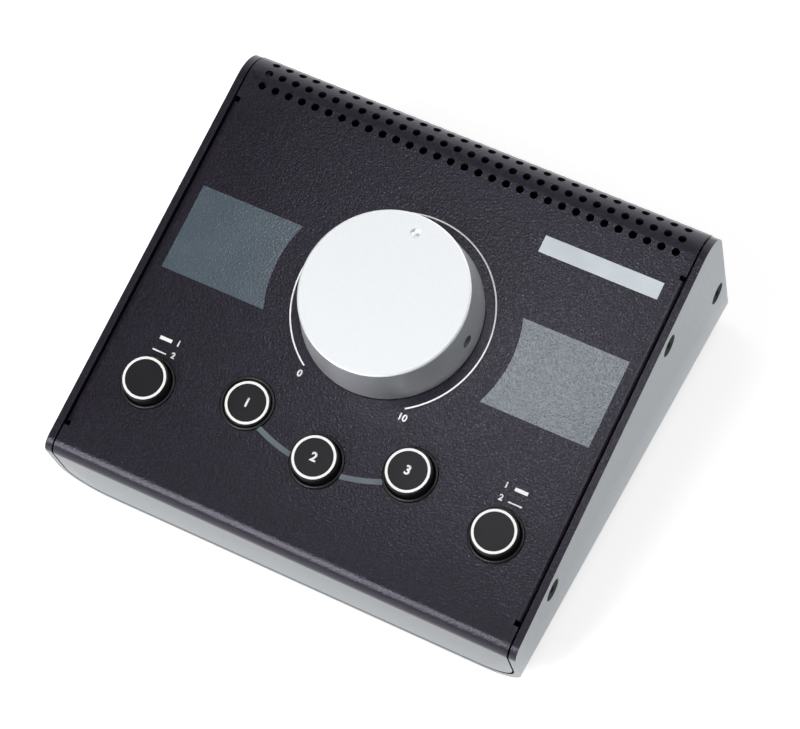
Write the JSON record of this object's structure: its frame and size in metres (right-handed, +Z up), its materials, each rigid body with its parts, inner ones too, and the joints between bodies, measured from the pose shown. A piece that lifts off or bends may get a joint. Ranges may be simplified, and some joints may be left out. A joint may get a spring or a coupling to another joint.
{
  "type": "studio monitor controller",
  "caption": "Desktop studio monitor controller: sloped sheet-metal case with a large volume knob, push buttons, vent holes and audio jacks on the back.",
  "frame": {"origin": "centre of the bounding box in plan, at the underside of the feet", "axes": "+Z up, front towards -Y, +X to the right seen from the front; the panel rises towards +Y"},
  "size_m": [0.188, 0.184, 0.0973],
  "materials": {
    "black_powder_coat": "fine satin powder coat",
    "black_screw_steel": "satin",
    "zinc_plated_steel": "satin",
    "rubber": "matt",
    "silver_aluminium": "satin anodised",
    "black_oxide_steel": "satin",
    "turned_steel": "satin",
    "brass": "turned",
    "black_plastic": "satin",
    "circuit_board": "satin solder mask",
    "grey_ribbon": "matt",
    "nickel_nut": "bright nickel",
    "jack_plastic": "satin",
    "cap_plastic": "satin",
    "white_ring": "satin",
    "stem_plastic": "satin",
    "switch_plastic": "satin",
    "spring_steel": "drawn wire"
  },
  "bodies": {
    "case": {"board_headers": "black_plastic", "board_screws": "zinc_plated_steel", "board_standoffs": "zinc_plated_steel", "bottom_tray": "black_powder_coat", "button_guides": "black_plastic", "clinch_nuts": "zinc_plated_steel", "control_board": "circuit_board", "jack_1": "jack_plastic", "jack_2": "jack_plastic", "jack_3": "jack_plastic", "jack_4": "jack_plastic", "jack_5": "jack_plastic", "jack_6": "jack_plastic", "jack_7": "jack_plastic", "jack_8": "jack_plastic", "jack_board": "circuit_board", "jack_nuts": "zinc_plated_steel", "jack_washers": "zinc_plated_steel", "left_select_spring": "spring_steel", "left_select_switch": "switch_plastic", "left_spring": "spring_steel", "left_switch": "switch_plastic", "middle_spring": "spring_steel", "middle_switch": "switch_plastic", "mini_jack": "jack_plastic", "mini_jack_nut": "nickel_nut", "pot_body": "zinc_plated_steel", "pot_bushing": "brass", "pot_nut": "zinc_plated_steel", "pot_spacer": "black_plastic", "pot_washer": "zinc_plated_steel", "rear_panel": "black_powder_coat", "ribbon_cable": "grey_ribbon", "right_select_spring": "spring_steel", "right_select_switch": "switch_plastic", "right_spring": "spring_steel", "right_switch": "switch_plastic", "rubber_feet": "rubber", "side_screws": "black_screw_steel", "top_cover": "black_powder_coat"},
    "volume_control": {"volume_knob": "silver_aluminium", "knob_set_screw": "black_oxide_steel", "pot_shaft": "turned_steel"},
    "left_select_button": {"left_select_cap": "cap_plastic", "left_select_ring": "white_ring", "left_select_stem": "stem_plastic"},
    "left_button": {"left_cap": "cap_plastic", "left_ring": "white_ring", "left_stem": "stem_plastic"},
    "middle_button": {"middle_cap": "cap_plastic", "middle_ring": "white_ring", "middle_stem": "stem_plastic"},
    "right_button": {"right_cap": "cap_plastic", "right_ring": "white_ring", "right_stem": "stem_plastic"},
    "right_select_button": {"right_select_cap": "cap_plastic", "right_select_ring": "white_ring", "right_select_stem": "stem_plastic"}
  },
  "joints": [
    {"name": "volume_turn", "type": "hinge", "parent": "case", "child": "volume_control", "pos_m": [0, -0.00132, 0.06975], "axis": [0, -0.289, 0.9573], "range_deg": [-147, 147]},
    {"name": "left_select_press", "type": "slide", "parent": "case", "child": "left_select_button", "axis": [0, -0.289, 0.9573], "range_m": [-0.00495, 0], "stiffness_N_per_m": 300, "deforming": ["left_select_spring"]},
    {"name": "left_press", "type": "slide", "parent": "case", "child": "left_button", "axis": [0, -0.289, 0.9573], "range_m": [-0.0006, 0.00435], "stiffness_N_per_m": 300, "deforming": ["left_spring"]},
    {"name": "middle_press", "type": "slide", "parent": "case", "child": "middle_button", "axis": [0, -0.289, 0.9573], "range_m": [-0.00495, 0], "stiffness_N_per_m": 300, "deforming": ["middle_spring"]},
    {"name": "right_press", "type": "slide", "parent": "case", "child": "right_button", "axis": [0, -0.289, 0.9573], "range_m": [-0.00495, 0], "stiffness_N_per_m": 300, "deforming": ["right_spring"]},
    {"name": "right_select_press", "type": "slide", "parent": "case", "child": "right_select_button", "axis": [0, -0.289, 0.9573], "range_m": [-0.00495, 0], "stiffness_N_per_m": 300, "deforming": ["right_select_spring"]}
  ]
}
